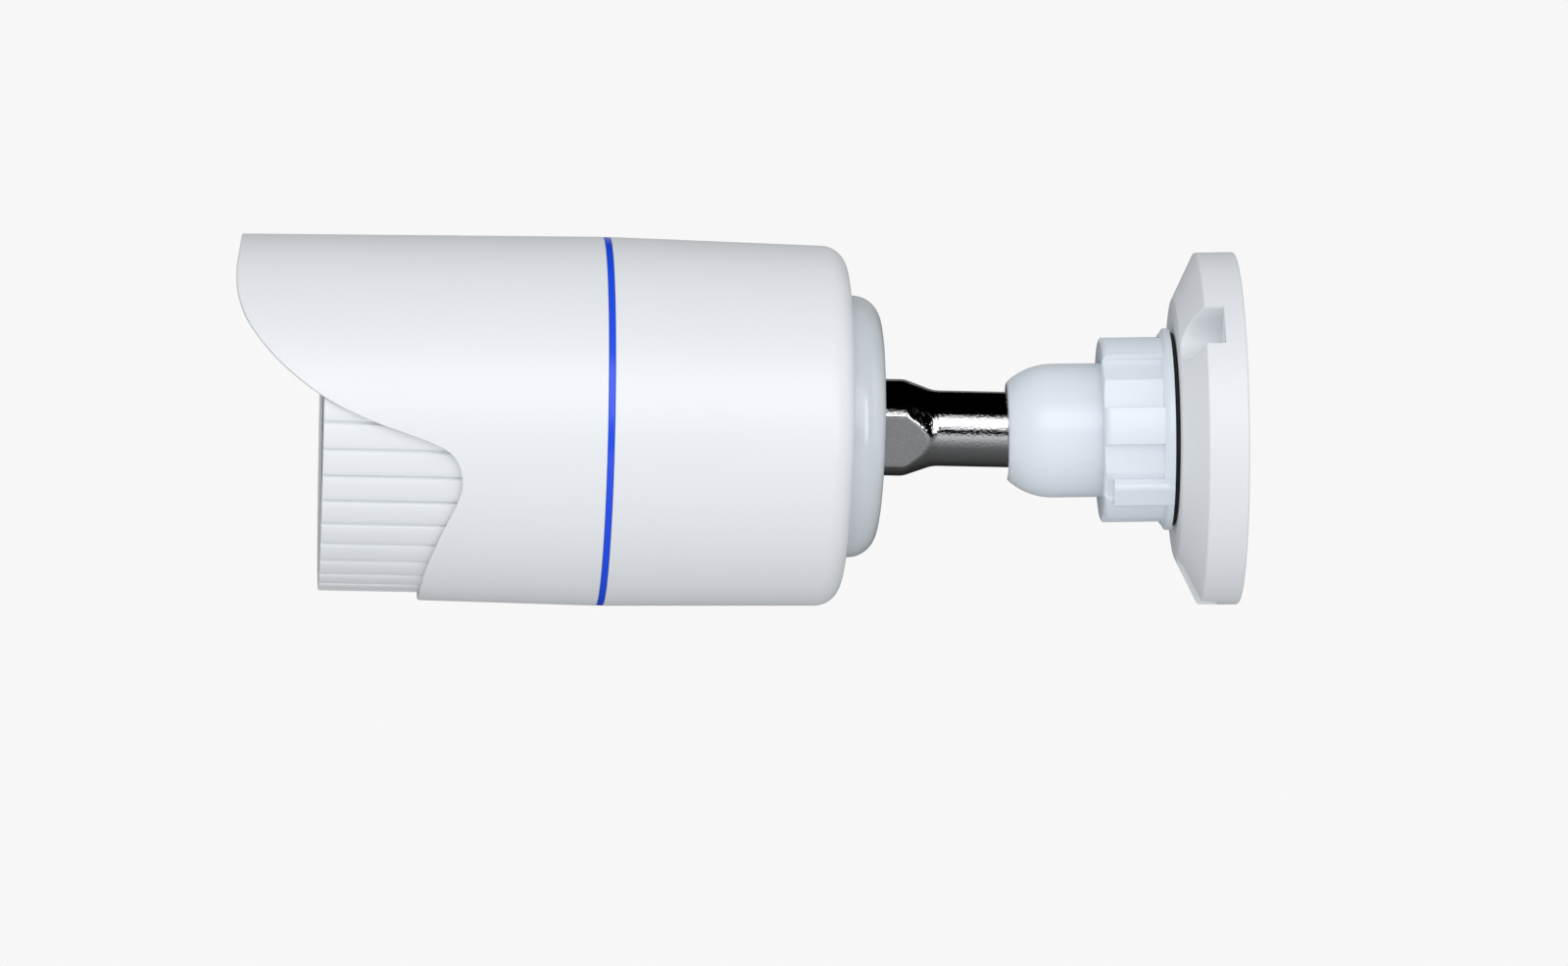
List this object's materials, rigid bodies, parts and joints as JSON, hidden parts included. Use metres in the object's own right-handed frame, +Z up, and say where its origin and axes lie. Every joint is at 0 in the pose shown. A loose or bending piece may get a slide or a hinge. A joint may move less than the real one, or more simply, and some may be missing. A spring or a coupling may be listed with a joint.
{
  "type": "security camera",
  "caption": "Bullet-style wall camera: ribbed barrel under a scalloped sun hood, turning on a short metal stem in a ball bracket.",
  "frame": {"origin": "on the wall plane, at the axis of the round wall base", "axes": "+X out of the wall towards the lens, +Z up"},
  "size_m": [0.1904, 0.075, 0.0728],
  "materials": {
    "body_white": "satin",
    "base_white": "satin",
    "cap_grey_white": "gloss",
    "blue_trim": "gloss",
    "chrome": "polished",
    "steel": "satin",
    "aluminium": "satin",
    "black_rubber": "matte",
    "black_foam": "matte",
    "black_plastic": "satin",
    "acetal": "satin",
    "circuit_board": "satin",
    "dark_resin": "gloss",
    "window_glass": "polished",
    "lens_glass": "polished"
  },
  "bodies": {
    "wall_base": {"base_plate": "base_white", "wall_gasket": "black_rubber", "post_seal_ring": "black_rubber", "cable_grommet": "black_rubber", "ball_seat": "acetal"},
    "nut_carrier": {"nut_slip_washer": "acetal"},
    "nut": {"lock_nut": "body_white"},
    "socket": {"socket_dome": "body_white"},
    "stem": {"stem": "chrome", "stem_wave_washer": "steel", "stem_nut": "steel", "stem_cable_bush": "black_rubber"},
    "head": {"rear_cap": "cap_grey_white", "cap_seal": "black_rubber", "cap_screw_1": "steel", "cap_screw_2": "steel", "cap_screw_3": "steel", "rear_housing": "body_white", "trim_ring": "blue_trim", "sun_shield": "body_white", "ribbed_barrel": "body_white", "barrel_seal": "black_rubber", "window_seal": "black_rubber", "front_window": "window_glass", "window_bezel": "black_plastic", "carrier_plate": "aluminium", "carrier_retaining_ring": "black_plastic", "led_board": "circuit_board", "ir_led_1": "dark_resin", "ir_led_2": "dark_resin", "ir_led_3": "dark_resin", "ir_led_4": "dark_resin", "ir_led_5": "dark_resin", "ir_led_6": "dark_resin", "ir_led_7": "dark_resin", "ir_led_8": "dark_resin", "light_sensor": "dark_resin", "lens_barrel": "black_plastic", "lens_front_glass": "lens_glass", "lens_lock_ring": "black_plastic", "lens_shroud": "black_foam", "lens_holder": "black_plastic", "filter_actuator": "steel", "image_sensor": "lens_glass", "sensor_board": "circuit_board", "main_board": "circuit_board", "front_standoff_1": "steel", "front_standoff_2": "steel", "front_standoff_3": "steel", "front_standoff_4": "steel", "rear_standoff_1": "steel", "rear_standoff_2": "steel", "rear_standoff_3": "steel", "rear_standoff_4": "steel", "cable_connector": "acetal", "heat_spreader": "aluminium"},
    "filter": {"ir_cut_filter": "lens_glass"}
  },
  "joints": [
    {"name": "nut_advance", "type": "slide", "parent": "wall_base", "child": "nut_carrier", "axis": [1, 0, 0], "range_m": [0, 0.0015]},
    {"name": "nut_turn", "type": "hinge", "parent": "nut_carrier", "child": "nut", "pos_m": [0, 0, 0], "axis": [1, 0, 0], "range_deg": [0, 271]},
    {"name": "pan", "type": "hinge", "parent": "wall_base", "child": "socket", "pos_m": [0, 0, 0], "axis": [1, 0, 0], "range_deg": [-180, 180]},
    {"name": "tilt", "type": "hinge", "parent": "socket", "child": "stem", "pos_m": [0.0345, 0, 0], "axis": [0, 0.5299, -0.848], "range_deg": [-3.4, 88.5]},
    {"name": "roll", "type": "hinge", "parent": "stem", "child": "head", "pos_m": [0.0345, 0, 0], "axis": [0.9981, 0.0525, 0.0328], "range_deg": [-180, 180]},
    {"name": "filter_shift", "type": "slide", "parent": "head", "child": "filter", "axis": [-0.0516, 0.9983, -0.027], "range_m": [0, 0.0066]}
  ],
  "couplings": [
    {"joint": "nut_turn", "follows": "nut_advance", "rad_per_m": 3141.6}
  ]
}
